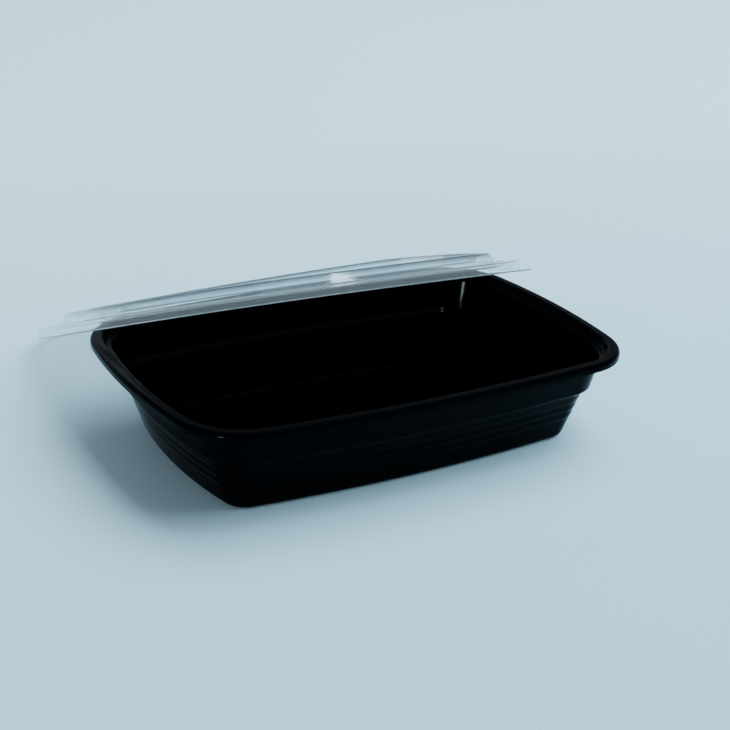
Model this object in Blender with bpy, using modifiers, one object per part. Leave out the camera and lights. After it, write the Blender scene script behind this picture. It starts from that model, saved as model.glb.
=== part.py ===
"""Rectangular takeaway meal container: a black tray and the clear lid that leans on its back rim.

Units are metres, +Z is up and X runs along the tray's long side. The origin is the middle of
the tray's flat base. Sizes are written in millimetres and turned into metres by MM.
"""
import math

import bmesh
import bpy
from mathutils import Matrix, Vector

MM = 0.001

# Driving sizes of the tray.
TRAY_LENGTH = 222.0 * MM
TRAY_WIDTH = 139.6 * MM
TRAY_HEIGHT = 43.1 * MM
TRAY_WALL = 0.8 * MM
END_BOW = 8.8 * MM
SIDE_BOW = 6.4 * MM
CORNER_RADIUS = 30.0 * MM
SMALLEST_RADIUS = 9.0 * MM

# Rim, seat, ledge and floor of the tray, as insets from the rim's outer edge and heights.
RIM_WIDTH = 4.9 * MM
RIM_SKIRT = 3.3 * MM
RIM_OUTER_ROUND = 1.3 * MM
RIM_INNER_ROUND = 0.7 * MM
SEAT_OUTER_INSET = 6.5 * MM
SEAT_OUTER_DROP = 3.3 * MM
SEAT_INNER_INSET = 9.2 * MM
SEAT_INNER_DROP = 4.2 * MM
SEAT_OUTER_ROUND = 0.8 * MM
SEAT_INNER_ROUND = 0.9 * MM
LEDGE_OUTER_INSET = 12.0 * MM
LEDGE_OUTER_HEIGHT = 24.4 * MM
LEDGE_INNER_INSET = 15.0 * MM
LEDGE_INNER_HEIGHT = 20.6 * MM
LEDGE_OUTER_ROUND = 2.4 * MM
LEDGE_INNER_ROUND = 1.0 * MM
FLOOR_INSET = 20.8 * MM
FLOOR_ROUND = 2.8 * MM

# The ends lean in more than the long sides, and the bows flatten towards the floor.
END_DRAFT = 1.12
SIDE_DRAFT = 0.88
BOW_LOSS = 0.2

# Fine ribs round the lower wall.
RIB_COUNT = 3
RIB_SPACES = 4.2
RIB_DEPTH = 0.3 * MM
RIB_HEIGHT = 0.8 * MM

# Driving sizes of the lid, as offsets outside the tray's rim outline and heights.
LID_WALL = 0.5 * MM
FLANGE_OFFSET = 2.7 * MM
SKIRT_OFFSET = 1.4 * MM
LID_RING_HEIGHT = 5.1 * MM
PLUG_OUTER_OFFSET = -5.4 * MM
PLUG_INNER_OFFSET = -7.6 * MM
PLUG_DRAFT = 0.6 * MM
PLUG_BOTTOM_HEIGHT = 3.2 * MM
DOME_OFFSET = -11.6 * MM
DOME_HEIGHT = 10.0 * MM
BEAD_OFFSET = -14.6 * MM
PANEL_OFFSET = -18.0 * MM
PANEL_HEIGHT = 6.4 * MM
PANEL_MARGIN = 2.0 * MM
PANEL_RINGS = 2
FLANGE_ROUND = 0.3 * MM
SKIRT_ROUND = 0.9 * MM
PLUG_TOP_ROUND = 0.7 * MM
PLUG_BOTTOM_ROUND = 0.5 * MM
DOME_ROUND = 1.3 * MM
BEAD_ROUND = 1.1 * MM
PANEL_ROUND = 0.9 * MM

# Pull tab at the lid's near right corner.
TAB_REACH = 4.6 * MM
TAB_HALF_WIDTH = 11.0 * MM

# The thin lid is slightly twisted and bowed along its length.
LID_TWIST = 2.3 * MM
LID_BEND = -1.3 * MM
LID_BEND_MIDDLE = 0.4

# How the lid leans: its far edge on the table and its panel on the tray's back rim.
LID_TILT = math.radians(21.9)
LID_TURN = math.radians(-4.8)
LID_ROLL = math.radians(-2.1)
LID_CENTRE_X = 6.5 * MM
LID_CENTRE_Y = 84.0 * MM

# How finely the outline and the rounded corners of the profiles are divided.
LONG_SIDE_STEPS = 8
SHORT_SIDE_STEPS = 6
CORNER_STEPS = 6
SHARP_ANGLE = math.radians(50)
ROUND_STEPS = 2
WIDE_ROUND_STEPS = 3

TRAY_COLOUR = (0.006, 0.007, 0.009, 1.0)
LID_COLOUR = (0.86, 0.90, 0.92, 1.0)


def clear_scene():
    """Removes every object of the start-up scene."""
    for thing in list(bpy.data.objects):
        bpy.data.objects.remove(thing, do_unlink=True)


def make_material(name, colour, roughness, transmission):
    """Returns a Principled material of the given colour."""
    material = bpy.data.materials.new(name)
    material.use_nodes = True
    shader = material.node_tree.nodes["Principled BSDF"]
    shader.inputs["Base Color"].default_value = colour
    shader.inputs["Roughness"].default_value = roughness
    shader.inputs["Metallic"].default_value = 0.0
    shader.inputs["Transmission Weight"].default_value = transmission
    return material


def arc(centre, radius, start, end, steps):
    """Returns the points of an arc, without its last point."""
    angles = [start + (end - start) * step / steps for step in range(steps)]
    return [(centre[0] + radius * math.cos(a), centre[1] + radius * math.sin(a)) for a in angles]


def corner_centre(end_centre, end_reach, side_centre, side_reach):
    """Returns where the corner arc is centred, so that it meets both side arcs smoothly."""
    gap_x = -end_centre
    gap_y = side_centre
    gap = math.hypot(gap_x, gap_y)
    along = (end_reach ** 2 - side_reach ** 2 + gap ** 2) / (2 * gap)
    across = math.sqrt(end_reach ** 2 - along ** 2)
    foot_x = end_centre + gap_x * along / gap
    foot_y = gap_y * along / gap
    return foot_x - gap_y * across / gap, foot_y + gap_x * across / gap


def plan_outline(half_length, half_width, end_bow, side_bow, radius):
    """Returns the closed outline with four bowed sides and rounded corners, anticlockwise."""
    end_radius = (half_width ** 2 + end_bow ** 2) / (2 * end_bow)
    side_radius = (half_length ** 2 + side_bow ** 2) / (2 * side_bow)
    end_x = half_length - end_radius
    side_y = half_width - side_radius
    corner = corner_centre(end_x, end_radius - radius, side_y, side_radius - radius)
    end_angle = math.atan2(corner[1], corner[0] - end_x)
    side_angle = math.atan2(corner[1] - side_y, corner[0])
    quarter = arc((end_x, 0.0), end_radius, 0.0, end_angle, SHORT_SIDE_STEPS // 2)
    quarter += arc(corner, radius, end_angle, side_angle, CORNER_STEPS)
    quarter += arc((0.0, side_y), side_radius, side_angle, math.pi / 2, LONG_SIDE_STEPS // 2)
    top = (0.0, half_width)
    upper = quarter + [top] + [(-x, y) for x, y in reversed(quarter)]
    lower = [(x, -y) for x, y in reversed(upper[1:-1])]
    return upper + lower


def tray_outline(inset):
    """Returns the tray's outline at an inset from the rim's outer edge."""
    wall_inset = max(inset - RIM_WIDTH, 0.0)
    rim_inset = inset - wall_inset
    flatter = 1.0 - BOW_LOSS * inset / FLOOR_INSET
    return plan_outline(
        TRAY_LENGTH / 2 - rim_inset - wall_inset * END_DRAFT,
        TRAY_WIDTH / 2 - rim_inset - wall_inset * SIDE_DRAFT,
        END_BOW * flatter,
        SIDE_BOW * flatter,
        max(CORNER_RADIUS - inset, SMALLEST_RADIUS),
    )


def lid_outline(offset):
    """Returns the lid's outline at an offset outside the tray's rim outline."""
    radius = CORNER_RADIUS + offset
    return plan_outline(TRAY_LENGTH / 2 + offset, TRAY_WIDTH / 2 + offset, END_BOW, SIDE_BOW, radius)


def round_corner(before, corner, after, radius, steps):
    """Returns the points of an arc that rounds one corner of a profile."""
    corner = Vector(corner)
    back = (Vector(before) - corner).normalized()
    ahead = (Vector(after) - corner).normalized()
    half = back.angle(ahead) / 2
    reach = radius / math.tan(half)
    centre = corner + (back + ahead).normalized() * radius / math.sin(half)
    start = corner + back * reach - centre
    end = corner + ahead * reach - centre
    sweep = start.angle_signed(end)
    turned = [Matrix.Rotation(-sweep * step / steps, 2) @ start for step in range(steps + 1)]
    return [tuple(centre + spoke) for spoke in turned]


def rounded_profile(corners):
    """Returns a profile whose corners (place, height, radius, steps) are rounded."""
    points = [(place, height) for place, height, radius, steps in corners]
    profile = [points[0]]
    for index in range(1, len(corners) - 1):
        radius, steps = corners[index][2:]
        if radius > 0.0:
            profile += round_corner(points[index - 1], points[index], points[index + 1], radius, steps)
        else:
            profile.append(points[index])
    profile.append(points[-1])
    return profile


def rib_corners():
    """Returns the corners of the fine ribs down the lower wall, from the ledge to the floor."""
    top = Vector((LEDGE_INNER_INSET, LEDGE_INNER_HEIGHT))
    bottom = Vector((FLOOR_INSET - RIB_DEPTH, TRAY_WALL))
    corners = []
    for number in range(1, RIB_COUNT + 1):
        middle = top.lerp(bottom, number / RIB_SPACES)
        corners.append((middle.x, middle.y + RIB_HEIGHT / 2, 0.0, 0))
        corners.append((middle.x + RIB_DEPTH, middle.y - RIB_HEIGHT / 2, 0.0, 0))
    return corners


def tray_profile():
    """Returns the tray's upper side as (inset, height), from the rim's skirt to the floor."""
    top = TRAY_HEIGHT
    corners = [
        (0.0, top - RIM_SKIRT, 0.0, 0),
        (0.0, top, RIM_OUTER_ROUND, WIDE_ROUND_STEPS),
        (RIM_WIDTH, top, RIM_INNER_ROUND, ROUND_STEPS),
        (SEAT_OUTER_INSET, top - SEAT_OUTER_DROP, SEAT_OUTER_ROUND, ROUND_STEPS),
        (SEAT_INNER_INSET, top - SEAT_INNER_DROP, SEAT_INNER_ROUND, ROUND_STEPS),
        (LEDGE_OUTER_INSET, LEDGE_OUTER_HEIGHT, LEDGE_OUTER_ROUND, WIDE_ROUND_STEPS),
        (LEDGE_INNER_INSET, LEDGE_INNER_HEIGHT, LEDGE_INNER_ROUND, ROUND_STEPS),
    ]
    corners += rib_corners()
    corners.append((FLOOR_INSET, TRAY_WALL, FLOOR_ROUND, WIDE_ROUND_STEPS))
    corners.append((FLOOR_INSET + 2 * FLOOR_ROUND, TRAY_WALL, 0.0, 0))
    return rounded_profile(corners)


def lid_profile():
    """Returns the lid's upper side as (offset, height), from the flange to the recessed panel."""
    return rounded_profile([
        (FLANGE_OFFSET, LID_WALL, 0.0, 0),
        (SKIRT_OFFSET, LID_WALL, FLANGE_ROUND, ROUND_STEPS),
        (SKIRT_OFFSET, LID_RING_HEIGHT, SKIRT_ROUND, WIDE_ROUND_STEPS),
        (PLUG_OUTER_OFFSET, LID_RING_HEIGHT, PLUG_TOP_ROUND, ROUND_STEPS),
        (PLUG_OUTER_OFFSET - PLUG_DRAFT, PLUG_BOTTOM_HEIGHT, PLUG_BOTTOM_ROUND, ROUND_STEPS),
        (PLUG_INNER_OFFSET, PLUG_BOTTOM_HEIGHT, PLUG_BOTTOM_ROUND, ROUND_STEPS),
        (DOME_OFFSET, DOME_HEIGHT, DOME_ROUND, WIDE_ROUND_STEPS),
        (BEAD_OFFSET, DOME_HEIGHT, BEAD_ROUND, ROUND_STEPS),
        (PANEL_OFFSET, PANEL_HEIGHT, PANEL_ROUND, ROUND_STEPS),
        (PANEL_OFFSET - PANEL_MARGIN, PANEL_HEIGHT, 0.0, 0),
    ])


def with_tab(ring):
    """Returns the flange's edge with the pull tab drawn out at the near right corner."""
    corner = max(ring, key=lambda point: point[0] - point[1])
    outward = Vector((1.0, -1.0)).normalized()
    pulled = []
    for x, y in ring:
        distance = math.hypot(x - corner[0], y - corner[1])
        share = max(0.0, 1.0 - distance / TAB_HALF_WIDTH)
        reach = TAB_REACH * math.sin(share * math.pi / 2)
        pulled.append((x + outward.x * reach, y + outward.y * reach))
    return pulled


def shrink(ring, factor):
    """Returns a ring drawn in towards the middle."""
    return [(x * factor, y * factor) for x, y in ring]


def warped_height(x, y, height):
    """Returns a height on the lid with its slight twist and bow added."""
    along = x / (TRAY_LENGTH / 2)
    across = y / (TRAY_WIDTH / 2)
    return height + LID_TWIST * along * across + LID_BEND * (along ** 2 - LID_BEND_MIDDLE)


def loft(rings, close):
    """Returns a mesh over rings of (x, y, z), each as long as the last, from the outside in."""
    shape = bmesh.new()
    loops = [[shape.verts.new(point) for point in ring] for ring in rings]
    for outer, inner in zip(loops, loops[1:]):
        for here in range(len(outer)):
            after = (here + 1) % len(outer)
            shape.faces.new((outer[here], outer[after], inner[after], inner[here]))
    close(shape, loops[-1])
    return shape


def close_flat(shape, loop):
    """Closes a ring with one flat face."""
    shape.faces.new(loop)


def close_to_middle(shape, loop):
    """Closes a ring with triangles that meet in the middle."""
    total = Vector((0.0, 0.0, 0.0))
    for vertex in loop:
        total += vertex.co
    middle = shape.verts.new(total / len(loop))
    for here in range(len(loop)):
        shape.faces.new((loop[here], loop[(here + 1) % len(loop)], middle))


def make_shell(name, shape, thickness, material, collection):
    """Returns an object that gives an open sheet its wall below the sheet's upper side."""
    mesh = bpy.data.meshes.new(name)
    shape.to_mesh(mesh)
    shape.free()
    mesh.shade_smooth()
    mesh.set_sharp_from_angle(angle=SHARP_ANGLE)
    mesh.materials.append(material)
    shell = bpy.data.objects.new(name, mesh)
    collection.objects.link(shell)
    wall = shell.modifiers.new("wall", "SOLIDIFY")
    wall.thickness = thickness
    wall.offset = -1.0
    wall.use_even_offset = True
    wall.use_quality_normals = True
    return shell


def make_tray(collection):
    """Builds the tray as one moulded sheet."""
    rings = [[(x, y, height) for x, y in tray_outline(inset)] for inset, height in tray_profile()]
    material = make_material("black_polypropylene", TRAY_COLOUR, 0.16, 0.0)
    return make_shell("tray", loft(rings, close_flat), TRAY_WALL, material, collection)


def lid_rings():
    """Returns the lid's rings, still level, with its twist and bow."""
    flat = []
    for number, (offset, height) in enumerate(lid_profile()):
        outline = lid_outline(offset)
        if number == 0:
            outline = with_tab(outline)
        flat.append((outline, height))
    edge = flat[-1][0]
    for number in range(1, PANEL_RINGS + 1):
        flat.append((shrink(edge, 1.0 - number / (PANEL_RINGS + 1)), PANEL_HEIGHT))
    return [[(x, y, warped_height(x, y, height)) for x, y in outline] for outline, height in flat]


def lowest_point(thing):
    """Returns the lowest world height of an object with its modifiers."""
    bpy.context.view_layer.update()
    evaluated = thing.evaluated_get(bpy.context.evaluated_depsgraph_get())
    return min((evaluated.matrix_world @ vertex.co).z for vertex in evaluated.data.vertices)


def make_lid(collection):
    """Builds the lid and leans it on the back rim, with its far edge down on the table."""
    material = make_material("clear_plastic", LID_COLOUR, 0.08, 0.9)
    lid = make_shell("lid", loft(lid_rings(), close_to_middle), LID_WALL, material, collection)
    turn = Matrix.Rotation(LID_TURN, 4, "Z") @ Matrix.Rotation(-LID_TILT, 4, "X")
    lid.matrix_world = (
        Matrix.Translation((LID_CENTRE_X, LID_CENTRE_Y, 0.0)) @ turn @ Matrix.Rotation(LID_ROLL, 4, "Y")
    )
    lid.location.z -= lowest_point(lid)
    return lid


def main():
    """Builds the container."""
    clear_scene()
    collection = bpy.data.collections.new("takeaway_meal_container")
    bpy.context.scene.collection.children.link(collection)
    make_tray(collection)
    make_lid(collection)


main()
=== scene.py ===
"""Looks of a takeaway meal container: a glossy black tray and the clear lid that leans on it.

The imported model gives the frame: metres, +Z up, X along the tray's long side, and the origin in
the middle of the tray's flat base. Each piece is one moulded sheet. Its skin is drawn as a stack
of outlines, bridged, rounded along its creases and given its wall.
"""
import logging
import math
from dataclasses import dataclass, field
from enum import Enum

import bmesh
import bpy
from mathutils import Matrix, Vector


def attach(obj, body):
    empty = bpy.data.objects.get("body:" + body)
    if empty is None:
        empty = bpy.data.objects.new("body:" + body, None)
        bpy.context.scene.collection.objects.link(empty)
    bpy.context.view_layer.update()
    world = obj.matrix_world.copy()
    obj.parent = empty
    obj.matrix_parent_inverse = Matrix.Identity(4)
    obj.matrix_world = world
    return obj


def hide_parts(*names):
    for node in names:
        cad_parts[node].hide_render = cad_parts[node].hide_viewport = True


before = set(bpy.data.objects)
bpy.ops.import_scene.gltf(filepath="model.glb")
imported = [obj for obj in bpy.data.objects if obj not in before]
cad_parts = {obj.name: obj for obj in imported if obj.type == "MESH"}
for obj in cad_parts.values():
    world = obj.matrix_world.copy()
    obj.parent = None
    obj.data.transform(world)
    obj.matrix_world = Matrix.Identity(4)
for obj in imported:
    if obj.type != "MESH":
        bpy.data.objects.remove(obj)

MM = 0.001
BODY = "root"
DOME_RISE = "dome_rise"
MERGE = 0.01 * MM
SMOOTH_ANGLE = math.radians(40)
Colour = tuple[float, float, float]

log = logging.getLogger("takeaway_container")


class Slot(Enum):
    """The material slots of the record."""

    BLACK_PLASTIC = "black_plastic"
    CLEAR_PLASTIC = "clear_plastic"


class Node(Enum):
    """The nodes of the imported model."""

    TRAY = "tray"
    LID = "lid"


# Outlines and profiles


@dataclass(frozen=True)
class Arc:
    """One arc of an outline, drawn anticlockwise.

    Args:
        centre: Place of its centre in plan.
        sweep: Angle that it turns through.
        steps: Number of straight steps in it.
    """

    centre: tuple[float, float]
    sweep: float
    steps: int


@dataclass(frozen=True)
class Outline:
    """A plan outline: four slightly bowed sides joined by round corners.

    Args:
        half_length: Reach along X.
        half_width: Reach along Y.
        end_bow: How far the middle of an end stands out.
        side_bow: How far the middle of a long side stands out.
        corner_radius: Radius of the corners.
    """

    half_length: float
    half_width: float
    end_bow: float
    side_bow: float
    corner_radius: float

    side_steps: int = 20
    end_steps: int = 14
    corner_steps: int = 22

    def start(self) -> tuple[float, float]:
        """Returns the point where the drawing starts, in the middle of the right end."""
        return self.half_length, 0.0

    def arcs(self) -> list[Arc]:
        """Returns the three arcs of the quarter between the right end and the far side."""
        end_radius = (self.half_width ** 2 + self.end_bow ** 2) / (2 * self.end_bow)
        side_radius = (self.half_length ** 2 + self.side_bow ** 2) / (2 * self.side_bow)
        end_x = self.half_length - end_radius
        side_y = self.half_width - side_radius
        x, y = self._corner(end_x, end_radius, side_y, side_radius)
        end_angle = math.atan2(y, x - end_x)
        side_angle = math.atan2(y - side_y, x)
        return [
            Arc((end_x, 0.0), end_angle, self.end_steps),
            Arc((x, y), side_angle - end_angle, self.corner_steps),
            Arc((0.0, side_y), math.pi / 2 - side_angle, self.side_steps),
        ]

    def _corner(self, end_x: float, end_radius: float, side_y: float, side_radius: float) -> Vector:
        """Returns the centre of the corner arc that meets the end and the side smoothly.

        Args:
            end_x: Where the end's arc is centred on X.
            end_radius: Radius of the end's arc.
            side_y: Where the side's arc is centred on Y.
            side_radius: Radius of the side's arc.

        Returns:
            The corner arc's centre in plan.
        """
        end_reach = end_radius - self.corner_radius
        side_reach = side_radius - self.corner_radius
        between = Vector((-end_x, side_y))
        gap = between.length
        along = (end_reach ** 2 - side_reach ** 2 + gap ** 2) / (2 * gap)
        across = math.sqrt(end_reach ** 2 - along ** 2)
        ahead = between / gap
        aside = Vector((-ahead.y, ahead.x))
        return Vector((end_x, 0.0)) + ahead * along + aside * across


@dataclass(frozen=True)
class Crease:
    """One corner of a moulded profile, followed round the whole piece.

    Args:
        place: How far in from the edge it runs.
        height: Its height.
        radius: How round it is; 0 leaves it sharp.
        steps: Number of steps in its rounding.
    """

    place: float
    height: float
    radius: float = 0.0
    steps: int = 5

    def point(self) -> Vector:
        """Returns the crease as a point of the profile."""
        return Vector((self.place, self.height))


def bevel_reach(before: Crease, crease: Crease, after: Crease) -> float:
    """Returns how far from a crease its rounding starts.

    Args:
        before: The crease before it.
        crease: The crease that is rounded.
        after: The crease after it.

    Returns:
        The distance along both neighbouring faces.
    """
    back = before.point() - crease.point()
    ahead = after.point() - crease.point()
    return crease.radius / math.tan(back.angle(ahead) / 2)


# The modelling bench


Spot = tuple[int, int, int]


def spot(vertex: bmesh.types.BMVert) -> Spot:
    """Returns a vertex's place in whole microns, the same in all four quarters."""
    return round(abs(vertex.co.x) * 1e6), round(abs(vertex.co.y) * 1e6), round(vertex.co.z * 1e6)


class Bench:
    """Shapes one sheet in edit mode, the way it is done by hand."""

    def __init__(self, name: str) -> None:
        """Starts an empty piece and opens it for editing.

        Args:
            name: Name of the piece.
        """
        bpy.ops.object.select_all(action="DESELECT")
        bpy.ops.mesh.primitive_plane_add(size=MM, location=(0.0, 0.0, 0.0))
        self.piece = bpy.context.object
        self.piece.name = name
        self.piece.data.name = name
        self.chains: list[frozenset[Spot]] = []
        bpy.ops.object.mode_set(mode="EDIT")
        bpy.ops.mesh.delete(type="VERT")

    @property
    def skin(self) -> bmesh.types.BMesh:
        """The mesh that is being edited."""
        return bmesh.from_edit_mesh(self.piece.data)

    def draw_quarter(self, outline: Outline, height: float) -> None:
        """Draws a quarter of an outline by spinning a point round its arcs, and remembers where it runs.

        Args:
            outline: The outline in plan.
            height: Its height.
        """
        bpy.ops.mesh.select_all(action="SELECT")
        bpy.ops.mesh.hide(unselected=False)
        bpy.ops.mesh.primitive_circle_add(vertices=3, radius=MM, location=(*outline.start(), height))
        bpy.ops.mesh.merge(type="CENTER")
        for arc in outline.arcs():
            bpy.ops.mesh.spin(
                steps=arc.steps, angle=-arc.sweep, center=(*arc.centre, height), axis=(0.0, 0.0, 1.0)
            )
        self.chains.append(frozenset(spot(vertex) for vertex in self.skin.verts if not vertex.hide))

    def pick(self, *numbers: int) -> None:
        """Selects only the given chains, in every quarter, by the places of their points.

        Args:
            numbers: Their numbers in the order they were drawn.
        """
        bpy.ops.mesh.select_all(action="DESELECT")
        places = frozenset().union(*(self.chains[number] for number in numbers))
        for edge in self.skin.edges:
            if all(spot(vertex) in places for vertex in edge.verts):
                edge.select_set(True)
        bmesh.update_edit_mesh(self.piece.data)

    def bridge_all(self) -> None:
        """Joins each chain to the next one with faces."""
        bpy.ops.mesh.reveal(select=False)
        for number in range(len(self.chains) - 1):
            self.pick(number, number + 1)
            bpy.ops.mesh.bridge_edge_loops()

    def mirror(self) -> None:
        """Mirrors the quarter to the whole and turns its faces up."""
        bpy.ops.object.mode_set(mode="OBJECT")
        halves = self.piece.modifiers.new("halves", "MIRROR")
        halves.use_axis = (True, True, False)
        halves.merge_threshold = MERGE
        bpy.ops.object.modifier_apply(modifier=halves.name)
        bpy.ops.object.mode_set(mode="EDIT")
        bpy.ops.mesh.select_all(action="SELECT")
        bpy.ops.mesh.normals_make_consistent(inside=False)
        if sum(face.normal.z * face.calc_area() for face in self.skin.faces) < 0.0:
            bpy.ops.mesh.flip_normals()

    def close_middle(self) -> None:
        """Closes the innermost loop with one face."""
        self.pick(-1)
        bpy.ops.mesh.edge_face_add()

    def round_all(self, creases: list[Crease]) -> None:
        """Rounds every crease that has a radius.

        Args:
            creases: The creases in the order of the chains, with the middle after them.
        """
        for number in range(1, len(creases) - 1):
            crease = creases[number]
            if crease.radius > 0.0:
                self.pick(number)
                reach = bevel_reach(creases[number - 1], crease, creases[number + 1])
                bpy.ops.mesh.bevel(offset=reach, segments=crease.steps, affect="EDGES", clamp_overlap=False)

    def give_wall(self, wall: float) -> bpy.types.Object:
        """Leaves edit mode and gives the sheet its wall below the skin.

        Args:
            wall: Thickness of the sheet.

        Returns:
            The finished piece.
        """
        bpy.ops.object.mode_set(mode="OBJECT")
        sheet = self.piece.modifiers.new("wall", "SOLIDIFY")
        sheet.thickness = wall
        sheet.offset = -1.0
        sheet.use_even_offset = True
        sheet.use_quality_normals = True
        bpy.ops.object.modifier_apply(modifier=sheet.name)
        return self.piece


# Finishes


class Board:
    """The node board of one material."""

    def __init__(self, name: str) -> None:
        """Starts a material with its Principled shader.

        Args:
            name: Name of the material.
        """
        self.material = bpy.data.materials.new(name)
        self.material.use_nodes = True
        self.tree = self.material.node_tree
        self.shader = self.tree.nodes["Principled BSDF"]

    def add(
        self, kind: str, inputs: dict[str | int, object] | None = None, **settings: object
    ) -> bpy.types.Node:
        """Adds a node.

        Args:
            kind: Its type.
            inputs: Values of its sockets, or the sockets that feed them.
            settings: Its own settings.

        Returns:
            The node.
        """
        node = self.tree.nodes.new(kind)
        for key, value in settings.items():
            setattr(node, key, value)
        for key, value in (inputs or {}).items():
            self.feed(node.inputs[key], value)
        return node

    def feed(self, socket: bpy.types.NodeSocket, value: object) -> None:
        """Links a socket to another one, or sets its value.

        Args:
            socket: The socket that is fed.
            value: A socket or a plain value.
        """
        if isinstance(value, bpy.types.NodeSocket):
            self.tree.links.new(value, socket)
        else:
            socket.default_value = value

    def noise(self, place: object, scale: float, detail: float = 2.0) -> bpy.types.NodeSocket:
        """Returns an even noise over the surface.

        Args:
            place: Socket of the place that it is read at.
            scale: Number of its features in a metre.
            detail: How many finer layers it has.

        Returns:
            The noise as a socket.
        """
        node = self.add("ShaderNodeTexNoise", {"Vector": place, "Scale": scale, "Detail": detail})
        return node.outputs[0]

    def remap(self, value: object, low: float, high: float, start: float, end: float) -> bpy.types.NodeSocket:
        """Returns a value brought from one range to another, and held inside it.

        Args:
            value: Socket of the value.
            low: Start of its range.
            high: End of its range.
            start: What the start becomes.
            end: What the end becomes.

        Returns:
            The new value as a socket.
        """
        inputs = {0: value, 1: low, 2: high, 3: start, 4: end}
        return self.add("ShaderNodeMapRange", inputs).outputs[0]

    def blend(self, share: object, start: Colour, end: Colour) -> bpy.types.NodeSocket:
        """Returns a colour between two others.

        Args:
            share: Socket of the share of the second one.
            start: The first colour.
            end: The second colour.

        Returns:
            The colour as a socket.
        """
        inputs = {0: share, 6: (*start, 1.0), 7: (*end, 1.0)}
        return self.add("ShaderNodeMix", inputs, data_type="RGBA").outputs[2]

    def bump(
        self, height: object, strength: float, distance: float, under: object = None
    ) -> bpy.types.NodeSocket:
        """Returns a normal with relief.

        Args:
            height: Socket of the relief.
            strength: How much of it shows.
            distance: How high it is.
            under: Socket of the relief that it lies on.

        Returns:
            The normal as a socket.
        """
        inputs = {"Height": height, "Strength": strength, "Distance": distance}
        if under is not None:
            inputs["Normal"] = under
        return self.add("ShaderNodeBump", inputs).outputs[0]


@dataclass(frozen=True)
class GlossyBlack:
    """Glossy black sheet with the mould's faint grain, wipe marks and a little dust."""

    colour: Colour = (0.0002, 0.0004, 0.0007)
    dust_colour: Colour = (0.06, 0.07, 0.08)
    gloss: float = 0.09
    dull: float = 0.20
    wiped: tuple[float, float] = (0.45, 0.75)
    reflection: float = 0.020
    refraction: float = 1.49
    wave_scale: float = 45.0
    wave_strength: float = 0.5
    wave_height: float = 0.25 * MM
    grain_scale: float = 1400.0
    grain_strength: float = 0.12
    grain_height: float = 0.02 * MM
    wipe_scales: tuple[float, float, float] = (60.0, 900.0, 300.0)
    speck_scale: float = 420.0
    speck_edge: tuple[float, float] = (0.05, 0.10)
    drift_scale: float = 130.0
    drift_edge: tuple[float, float] = (0.60, 0.66)
    facing_up: tuple[float, float] = (0.5, 0.9)
    dust_share: float = 0.6

    def make(self) -> bpy.types.Material:
        """Returns the material."""
        board = Board("glossy_black_plastic")
        place = board.add("ShaderNodeTexCoord").outputs["Object"]
        wave = board.noise(place, self.wave_scale)
        grain = board.noise(place, self.grain_scale, 3.0)
        wipe_place = board.add("ShaderNodeMapping", {"Vector": place, "Scale": self.wipe_scales})
        wipe = board.noise(wipe_place.outputs[0], 1.0, 4.0)
        dull = board.remap(wipe, *self.wiped, self.gloss, self.dull)
        colour = board.blend(self._dust(board, place), self.colour, self.dust_colour)
        board.feed(board.shader.inputs["Base Color"], colour)
        board.feed(board.shader.inputs["Roughness"], dull)
        relief = board.bump(wave, self.wave_strength, self.wave_height)
        relief = board.bump(grain, self.grain_strength, self.grain_height, relief)
        board.feed(board.shader.inputs["Normal"], relief)
        board.shader.inputs["Specular IOR Level"].default_value = self.reflection
        board.shader.inputs["IOR"].default_value = self.refraction
        return board.material

    def _dust(self, board: Board, place: object) -> bpy.types.NodeSocket:
        """Returns where the specks of dust lie, on faces that look up.

        Args:
            board: The material's board.
            place: Socket of the place on the surface.

        Returns:
            The share of dust as a socket.
        """
        cells = board.add("ShaderNodeTexVoronoi", {"Vector": place, "Scale": self.speck_scale})
        speck = board.remap(cells.outputs["Distance"], *self.speck_edge, 1.0, 0.0)
        chance = board.remap(board.noise(place, self.drift_scale), *self.drift_edge, 0.0, 1.0)
        up = board.add("ShaderNodeSeparateXYZ", {0: board.add("ShaderNodeNewGeometry").outputs["Normal"]})
        facing = board.remap(up.outputs[2], *self.facing_up, 0.0, self.dust_share)
        both = board.add("ShaderNodeMath", {0: speck, 1: chance}, operation="MULTIPLY")
        return board.add("ShaderNodeMath", {0: both.outputs[0], 1: facing}, operation="MULTIPLY").outputs[0]


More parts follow.
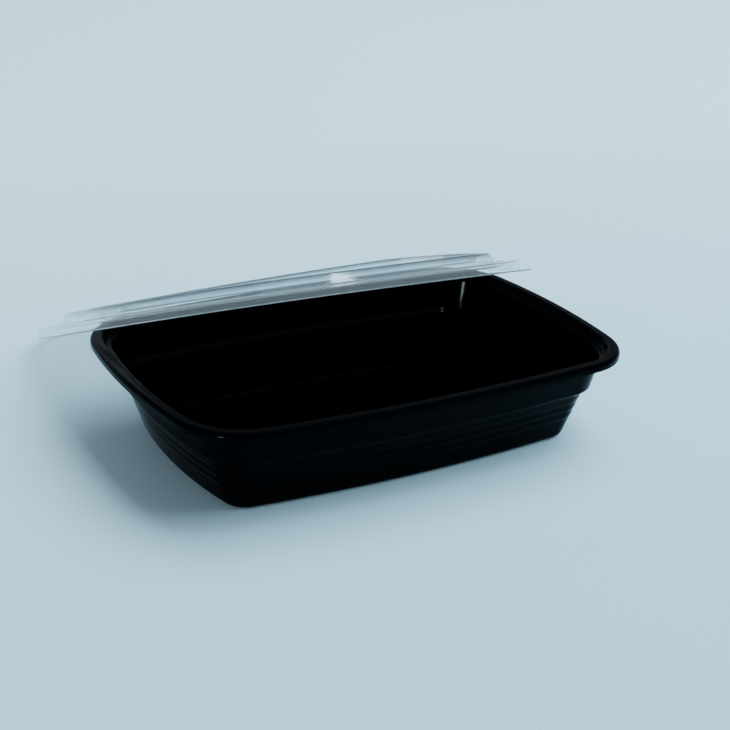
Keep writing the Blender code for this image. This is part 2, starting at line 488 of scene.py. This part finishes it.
@dataclass(frozen=True)
class ClearHazy:
    """Clear thin sheet, slightly hazy, with the soft waves of a formed film, and painted shade that darkens
    the top of the dome wall by the bead.
    """

    colour: Colour = (0.92, 0.95, 0.96)
    painted_shade_colour: Colour = (0.33, 0.34, 0.35)
    shade: Colour = (0.93, 0.94, 0.945)
    edge_shade: Colour = (0.56, 0.60, 0.62)
    clear: float = 0.03
    hazy: float = 0.06
    clouded: tuple[float, float] = (0.35, 0.70)
    painted_shade_band: tuple[float, float] = (0.55, 0.95)
    transmission: float = 0.955
    reflection: float = 0.6
    refraction: float = 1.49
    cloud_scale: float = 30.0
    cloud_strength: float = 0.05
    cloud_height: float = 0.2 * MM
    grain_scale: float = 1100.0
    grain_strength: float = 0.02
    grain_height: float = 0.02 * MM

    def make(self) -> bpy.types.Material:
        """Returns the material."""
        board = Board("clear_hazy_plastic")
        place = board.add("ShaderNodeTexCoord").outputs["Object"]
        cloud = board.noise(place, self.cloud_scale, 3.0)
        grain = board.noise(place, self.grain_scale)
        haze = board.remap(cloud, *self.clouded, self.clear, self.hazy)
        board.feed(board.shader.inputs["Roughness"], haze)
        relief = board.bump(cloud, self.cloud_strength, self.cloud_height)
        relief = board.bump(grain, self.grain_strength, self.grain_height, relief)
        board.feed(board.shader.inputs["Normal"], relief)
        # Painted shade: the base colour turns dark grey towards the top of the dome wall, by the bead.
        rise = board.add("ShaderNodeAttribute", attribute_name=DOME_RISE).outputs["Fac"]
        bead = board.remap(rise, *self.painted_shade_band, 0.0, 1.0)
        board.feed(board.shader.inputs["Base Color"], board.blend(bead, self.colour, self.painted_shade_colour))
        board.shader.inputs["Transmission Weight"].default_value = self.transmission
        board.shader.inputs["Specular IOR Level"].default_value = self.reflection
        board.shader.inputs["IOR"].default_value = self.refraction
        self._let_lamps_through(board)
        return board.material

    def _let_lamps_through(self, board: Board) -> None:
        """Gives the sheet the pale shadow of a clear film, darker where light crosses it at a slant.

        Args:
            board: The material's board.
        """
        slant = board.add("ShaderNodeLayerWeight", {"Blend": 0.5}).outputs["Facing"]
        tint = board.blend(slant, self.shade, self.edge_shade)
        film = board.add("ShaderNodeBsdfTransparent", {"Color": tint})
        path = board.add("ShaderNodeLightPath")
        both = board.add(
            "ShaderNodeMixShader",
            {0: path.outputs["Is Shadow Ray"], 1: board.shader.outputs[0], 2: film.outputs[0]},
        )
        board.feed(board.tree.nodes["Material Output"].inputs["Surface"], both.outputs[0])


@dataclass(frozen=True)
class PaleFloor:
    """Matt pale blue-grey table, painted darker at the front and paler at the back as painted shade and
    light.
    """

    shaded_near_colour: Colour = (0.52, 0.72, 0.82)
    lit_far_colour: Colour = (0.85, 0.98, 0.99)
    near: float = -0.25
    far: float = 0.45
    cloud_scale: float = 6.0
    cloud_share: float = 0.06
    roughness: float = 0.6
    reflection: float = 0.2

    def make(self) -> bpy.types.Material:
        """Returns the material."""
        board = Board("pale_floor")
        place = board.add("ShaderNodeTexCoord").outputs["Object"]
        # Painted light and shade: the colour runs from darker at the front to paler at the back, with a
        # little random tone.
        depth = board.add("ShaderNodeSeparateXYZ", {0: place}).outputs[1]
        noise = board.noise(place, self.cloud_scale)
        cloud = board.add("ShaderNodeMath", {0: noise, 1: self.cloud_share}, operation="MULTIPLY").outputs[0]
        share = board.remap(depth, self.near, self.far, 0.0, 1.0)
        share = board.add("ShaderNodeMath", {0: share, 1: cloud}, operation="ADD").outputs[0]
        board.feed(board.shader.inputs["Base Color"], board.blend(share, self.shaded_near_colour, self.lit_far_colour))
        board.shader.inputs["Roughness"].default_value = self.roughness
        board.shader.inputs["Specular IOR Level"].default_value = self.reflection
        return board.material


# The container


@dataclass
class Tray:
    """The open black tray: rim, seat, upper wall, ledge, ribbed lower wall and flat base."""

    length: float = 222.0 * MM
    width: float = 139.6 * MM
    height: float = 43.1 * MM
    wall: float = 0.8 * MM
    end_bow: float = 8.8 * MM
    side_bow: float = 6.4 * MM
    corner_radius: float = 30.0 * MM
    smallest_radius: float = 9.0 * MM
    rim_width: float = 4.9 * MM
    rim_skirt: float = 3.3 * MM
    seat_outer_inset: float = 6.3 * MM
    seat_outer_drop: float = 3.2 * MM
    seat_inner_inset: float = 8.4 * MM
    seat_inner_drop: float = 4.0 * MM
    ledge_edge_inset: float = 11.1 * MM
    ledge_edge_height: float = 25.7 * MM
    ledge_inset: float = 13.8 * MM
    ledge_height: float = 23.6 * MM
    floor_inset: float = 20.8 * MM
    floor_round: float = 2.8 * MM
    end_draft: float = 1.12
    side_draft: float = 0.88
    bow_loss: float = 0.2
    rib_count: int = 3
    rib_spaces: float = 5.6
    rib_depth: float = 0.45 * MM
    rib_height: float = 0.9 * MM
    rib_round: float = 1.2 * MM
    finish: GlossyBlack = field(default_factory=GlossyBlack)

    def outline(self, inset: float) -> Outline:
        """Returns the outline at an inset from the rim's outer edge.

        Args:
            inset: How far in along the profile.

        Returns:
            The outline in plan.
        """
        wall_inset = max(inset - self.rim_width, 0.0)
        rim_inset = inset - wall_inset
        flatter = 1.0 - self.bow_loss * inset / self.floor_inset
        return Outline(
            self.length / 2 - rim_inset - wall_inset * self.end_draft,
            self.width / 2 - rim_inset - wall_inset * self.side_draft,
            self.end_bow * flatter,
            self.side_bow * flatter,
            max(self.corner_radius - inset, self.smallest_radius),
        )

    def ribs(self) -> list[Crease]:
        """Returns the fine ribs down the lower wall, from the ledge to the floor."""
        top = Vector((self.ledge_inset, self.ledge_height))
        bottom = Vector((self.floor_inset - self.rib_depth, self.wall))
        creases = []
        for number in range(1, self.rib_count + 1):
            middle = top.lerp(bottom, number / self.rib_spaces)
            half = self.rib_height / 2
            creases.append(Crease(middle.x, middle.y + half, self.rib_round, 3))
            creases.append(Crease(middle.x + self.rib_depth, middle.y - half, self.rib_round, 3))
        return creases

    def creases(self) -> list[Crease]:
        """Returns the profile of the upper side, from the rim's skirt to the middle of the floor."""
        top = self.height
        return [
            Crease(0.0, top - self.rim_skirt),
            Crease(0.0, top, 1.8 * MM, 10),
            Crease(self.rim_width, top, 0.9 * MM, 6),
            Crease(self.seat_outer_inset, top - self.seat_outer_drop, 0.8 * MM),
            Crease(self.seat_inner_inset, top - self.seat_inner_drop, 0.8 * MM),
            Crease(self.ledge_edge_inset, self.ledge_edge_height, 0.6 * MM, 6),
            Crease(self.ledge_inset, self.ledge_height, 1.4 * MM, 6),
            *self.ribs(),
            Crease(self.floor_inset, self.wall, self.floor_round, 8),
            Crease(self.width / 2, self.wall),
        ]

    def model(self) -> bpy.types.Object:
        """Returns the tray's mesh, with its floor closed."""
        bench = Bench("black_tray")
        creases = self.creases()
        for crease in creases[:-1]:
            bench.draw_quarter(self.outline(crease.place), crease.height)
        bench.bridge_all()
        bench.mirror()
        bench.close_middle()
        bench.round_all(creases)
        return bench.give_wall(self.wall)

    def build(self) -> bpy.types.Object:
        """Models the tray, dresses it and puts it in the frame."""
        tray = self.model()
        dress(tray, self.finish.make())
        return place_in_frame(tray, Node.TRAY)


@dataclass
class Lid:
    """The clear lid: flange with a pull tab, skirt, ring, plug groove, beaded dome and panel."""

    length: float = 222.0 * MM
    width: float = 139.6 * MM
    end_bow: float = 8.8 * MM
    side_bow: float = 6.4 * MM
    corner_radius: float = 30.0 * MM
    wall: float = 0.5 * MM
    flange: float = -2.7 * MM
    skirt: float = -1.4 * MM
    ring_height: float = 5.1 * MM
    plug_outer: float = 5.4 * MM
    plug_inner: float = 7.6 * MM
    plug_draft: float = 0.6 * MM
    plug_bottom: float = 3.2 * MM
    dome: float = 11.6 * MM
    dome_height: float = 10.0 * MM
    bead: float = 14.6 * MM
    panel: float = 18.0 * MM
    panel_height: float = 6.4 * MM
    panel_rings: int = 9
    tab_reach: float = 4.6 * MM
    tab_half_width: float = 11.0 * MM
    twist: float = 2.3 * MM
    bend: float = -1.3 * MM
    bend_middle: float = 0.4
    tilt: float = math.radians(21.9)
    turn: float = math.radians(-4.8)
    roll: float = math.radians(-2.1)
    centre: tuple[float, float] = (6.5 * MM, 84.0 * MM)
    finish: ClearHazy = field(default_factory=ClearHazy)

    def outline(self, inset: float) -> Outline:
        """Returns the outline at an inset from the tray's rim outline.

        Args:
            inset: How far in; less than 0 outside it.

        Returns:
            The outline in plan.
        """
        return Outline(
            self.length / 2 - inset,
            self.width / 2 - inset,
            self.end_bow,
            self.side_bow,
            self.corner_radius - inset,
        )

    def creases(self) -> list[Crease]:
        """Returns the profile of the upper side, from the flange to the middle of the recessed panel."""
        return [
            Crease(self.flange, self.wall),
            Crease(self.skirt, self.wall, 0.3 * MM, 4),
            Crease(self.skirt, self.ring_height, 0.9 * MM, 6),
            Crease(self.plug_outer, self.ring_height, 0.7 * MM),
            Crease(self.plug_outer + self.plug_draft, self.plug_bottom, 0.5 * MM),
            Crease(self.plug_inner, self.plug_bottom, 0.5 * MM),
            Crease(self.dome, self.dome_height, 1.3 * MM, 6),
            Crease(self.bead, self.dome_height, 1.1 * MM, 6),
            Crease(self.panel, self.panel_height, 0.9 * MM),
            Crease(self.width / 2, self.panel_height),
        ]

    def draw_tab(self, bench: Bench) -> None:
        """Draws the pull tab out of the flange's edge at the near right corner.

        Args:
            bench: The bench that holds the lid.
        """
        bench.pick(0)
        edge = [vertex for vertex in bench.skin.verts if vertex.select]
        corner = max(edge, key=lambda vertex: vertex.co.x - vertex.co.y).co.copy()
        outward = Vector((1.0, -1.0, 0.0)).normalized()
        for vertex in edge:
            share = max(0.0, 1.0 - (vertex.co - corner).length / self.tab_half_width)
            vertex.co += outward * self.tab_reach * math.sin(share * math.pi / 2)
        bmesh.update_edit_mesh(bench.piece.data)

    def ring_panel(self, bench: Bench) -> None:
        """Gives the panel rings that shrink towards its middle, so that it can take the lid's warp.

        Args:
            bench: The bench that holds the lid.
        """
        bpy.ops.mesh.select_all(action="DESELECT")
        max(bench.skin.faces, key=lambda face: face.calc_area()).select_set(True)
        bmesh.update_edit_mesh(bench.piece.data)
        for left in range(self.panel_rings, 0, -1):
            bpy.ops.mesh.extrude_region_move()
            bpy.ops.transform.resize(value=(left / (left + 1), left / (left + 1), 1.0))
        bpy.ops.mesh.poke()

    def mark_rise(self, lid: bpy.types.Object) -> None:
        """Stores how high each point of the level lid stands between the ring and the bead; the finish paints
        shade near the top of the dome wall by it.

        Args:
            lid: The lid.
        """
        rises = lid.data.attributes.new(DOME_RISE, "FLOAT", "POINT")
        for vertex, rise in zip(lid.data.vertices, rises.data):
            rise.value = max(0.0, (vertex.co.z - self.ring_height) / (self.dome_height - self.ring_height))

    def warp(self, lid: bpy.types.Object) -> None:
        """Gives the level lid the slight twist and bow of a thin sheet.

        Args:
            lid: The lid.
        """
        for vertex in lid.data.vertices:
            along = vertex.co.x / (self.length / 2)
            across = vertex.co.y / (self.width / 2)
            vertex.co.z += self.twist * along * across + self.bend * (along ** 2 - self.bend_middle)

    def lean(self, lid: bpy.types.Object) -> None:
        """Leans the lid on the back rim and lets its far edge down on the table.

        Args:
            lid: The lid.
        """
        leant = Matrix.Rotation(-self.tilt, 4, "X") @ Matrix.Rotation(self.roll, 4, "Y")
        place = Matrix.Translation((*self.centre, 0.0))
        lid.matrix_world = place @ Matrix.Rotation(self.turn, 4, "Z") @ leant
        bpy.ops.object.transform_apply(location=True, rotation=True, scale=True)
        lid.location.z = -min(vertex.co.z for vertex in lid.data.vertices)
        bpy.ops.object.transform_apply(location=True, rotation=True, scale=True)

    def model(self) -> bpy.types.Object:
        """Returns the lid's mesh in its place."""
        bench = Bench("clear_lid")
        creases = self.creases()
        for crease in creases[:-1]:
            bench.draw_quarter(self.outline(crease.place), crease.height)
        bench.bridge_all()
        bench.mirror()
        self.draw_tab(bench)
        bench.close_middle()
        bench.round_all(creases)
        self.ring_panel(bench)
        lid = bench.give_wall(self.wall)
        self.mark_rise(lid)
        self.warp(lid)
        self.lean(lid)
        return lid

    def build(self) -> bpy.types.Object:
        """Models the lid, dresses it and puts it in the frame."""
        lid = self.model()
        dress(lid, self.finish.make())
        return place_in_frame(lid, Node.LID)


def dress(piece: bpy.types.Object, material: bpy.types.Material) -> None:
    """Gives a piece its finish and smooth shading that keeps its flat faces flat.

    Args:
        piece: The piece.
        material: Its finish.
    """
    bpy.ops.object.select_all(action="DESELECT")
    piece.select_set(True)
    bpy.context.view_layer.objects.active = piece
    bpy.ops.object.shade_smooth_by_angle(angle=SMOOTH_ANGLE)
    flats = piece.modifiers.new("flats", "WEIGHTED_NORMAL")
    flats.keep_sharp = True
    bpy.ops.object.modifier_apply(modifier=flats.name)
    piece.data.materials.clear()
    piece.data.materials.append(material)


def place_in_frame(piece: bpy.types.Object, node: Node) -> bpy.types.Object:
    """Lets a piece ride on the container's body in place of its plain solid.

    Args:
        piece: The piece.
        node: The node that it stands for.

    Returns:
        The piece.
    """
    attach(piece, BODY)
    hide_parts(node.value)
    log.info("%s: %d faces", piece.name, len(piece.data.polygons))
    return piece


# The studio


@dataclass(frozen=True)
class Softbox:
    """A square soft light.

    Args:
        name: Its name.
        azimuth: Where it stands round the tray, in degrees from +Y towards +X.
        elevation: How high it stands, in degrees.
        distance: How far away.
        size: Its width and height.
        power: Its power in watts.
        colour: Its colour.
        mirrored: True if it shows in glossy surfaces and through the lid.
    """

    name: str
    azimuth: float
    elevation: float
    distance: float
    size: tuple[float, float]
    power: float
    colour: Colour
    mirrored: bool = True

    def build(self) -> bpy.types.Object:
        """Returns the light, aimed at the tray."""
        azimuth, elevation = math.radians(self.azimuth), math.radians(self.elevation)
        level = math.cos(elevation)
        away = Vector((math.sin(azimuth) * level, math.cos(azimuth) * level, math.sin(elevation)))
        turn = away.to_track_quat("Z", "Y").to_euler()
        bpy.ops.object.light_add(type="AREA", location=away * self.distance, rotation=turn)
        light = bpy.context.object
        light.name = self.name
        light.data.shape = "RECTANGLE"
        light.data.size, light.data.size_y = self.size
        light.data.energy = self.power
        light.data.color = self.colour
        light.visible_glossy = light.visible_transmission = self.mirrored
        return light


@dataclass(frozen=True)
class Viewpoint:
    """Where the camera stands and how it is turned.

    Args:
        place: Its place.
        azimuth: Which way it stands from its aim, from -Y towards +X.
        elevation: How far it looks down.
        roll: How far it is turned about its own line of sight.
        lens: Focal length in millimetres.
        sensor: Width of the picture at the lens's focus, in millimetres.
    """

    place: tuple[float, float, float] = (-322.63 * MM, -500.89 * MM, 287.55 * MM)
    azimuth: float = math.radians(-33.064)
    elevation: float = math.radians(23.324)
    roll: float = math.radians(3.885)
    lens: float = 72.53
    sensor: float = 36.0

    def build(self) -> bpy.types.Object:
        """Returns the camera."""
        level = math.cos(self.elevation)
        across, along = math.sin(self.azimuth) * level, math.cos(self.azimuth) * level
        back = Vector((across, -along, math.sin(self.elevation)))
        turn = back.to_track_quat("Z", "Y").to_matrix() @ Matrix.Rotation(self.roll, 3, "Z")
        bpy.ops.object.camera_add(location=self.place, rotation=turn.to_euler())
        camera = bpy.context.object
        camera.data.lens = self.lens
        camera.data.sensor_width = self.sensor
        camera.data.clip_start = 10 * MM
        bpy.context.scene.camera = camera
        return camera


@dataclass
class Studio:
    """A plain pale floor, soft lights and the camera."""

    floor_size: float = 14.0
    horizon_colour: Colour = (0.64, 0.74, 0.83)
    top_colour: Colour = (0.19, 0.22, 0.25)
    sky_strength: float = 0.8
    horizon: float = 0.28
    ceiling: float = 0.55
    viewpoint: Viewpoint = field(default_factory=Viewpoint)
    floor_finish: PaleFloor = field(default_factory=PaleFloor)
    softboxes: tuple[Softbox, ...] = (
        Softbox("overhead_softbox", 92.0, 60.0, 2.4, (3.2, 2.4), 145.0, (0.53, 0.84, 1.0), mirrored=False),
        Softbox("back_panel", 0.0, 22.0, 3.0, (2.1, 1.2), 11.0, (0.72, 0.86, 1.0)),
        Softbox("window", -129.0, 4.0, 1.8, (0.12, 0.20), 22.0, (0.72, 0.90, 1.0)),
        Softbox("lamp", 110.3, 64.1, 2.4, (0.10, 0.13), 0.8, (0.62, 0.86, 1.0)),
        Softbox("side_lamp", 132.0, 70.0, 2.4, (0.04, 0.04), 3.0, (0.72, 0.90, 1.0)),
        Softbox("lamp_shade", 104.0, 60.0, 2.6, (1.6, 1.2), 8.0, (0.44, 0.74, 1.0)),
    )

    def build(self) -> None:
        """Builds the floor, the sky, the lights and the camera."""
        bpy.ops.object.select_all(action="DESELECT")
        bpy.ops.mesh.primitive_plane_add(size=self.floor_size, location=(0.0, 0.0, 0.0))
        floor = bpy.context.object
        floor.name = "pale_floor"
        floor.data.materials.append(self.floor_finish.make())
        self.light_sky()
        for softbox in self.softboxes:
            softbox.build()
        self.viewpoint.build()

    def light_sky(self) -> None:
        """Gives the world a pale wall all round and a darker ceiling."""
        world = bpy.data.worlds.new("soft_sky")
        world.use_nodes = True
        tree = world.node_tree
        sky = tree.nodes["Background"]
        direction = tree.nodes.new("ShaderNodeTexCoord")
        height = tree.nodes.new("ShaderNodeSeparateXYZ")
        ramp = tree.nodes.new("ShaderNodeValToRGB")
        tree.links.new(direction.outputs["Generated"], height.inputs[0])
        tree.links.new(height.outputs[2], ramp.inputs[0])
        ramp.color_ramp.elements[0].position = self.horizon
        ramp.color_ramp.elements[0].color = (*self.horizon_colour, 1.0)
        ramp.color_ramp.elements[1].position = self.ceiling
        ramp.color_ramp.elements[1].color = (*self.top_colour, 1.0)
        tree.links.new(ramp.outputs[0], sky.inputs["Color"])
        sky.inputs["Strength"].default_value = self.sky_strength
        bpy.context.scene.world = world


def main() -> None:
    """Builds the container and the studio round it."""
    logging.basicConfig(level=logging.INFO, format="%(name)s: %(message)s")
    log.info("packed model: %d nodes", len(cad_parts))
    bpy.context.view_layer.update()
    Tray().build()
    Lid().build()
    Studio().build()


if __name__ == "__main__":
    main()
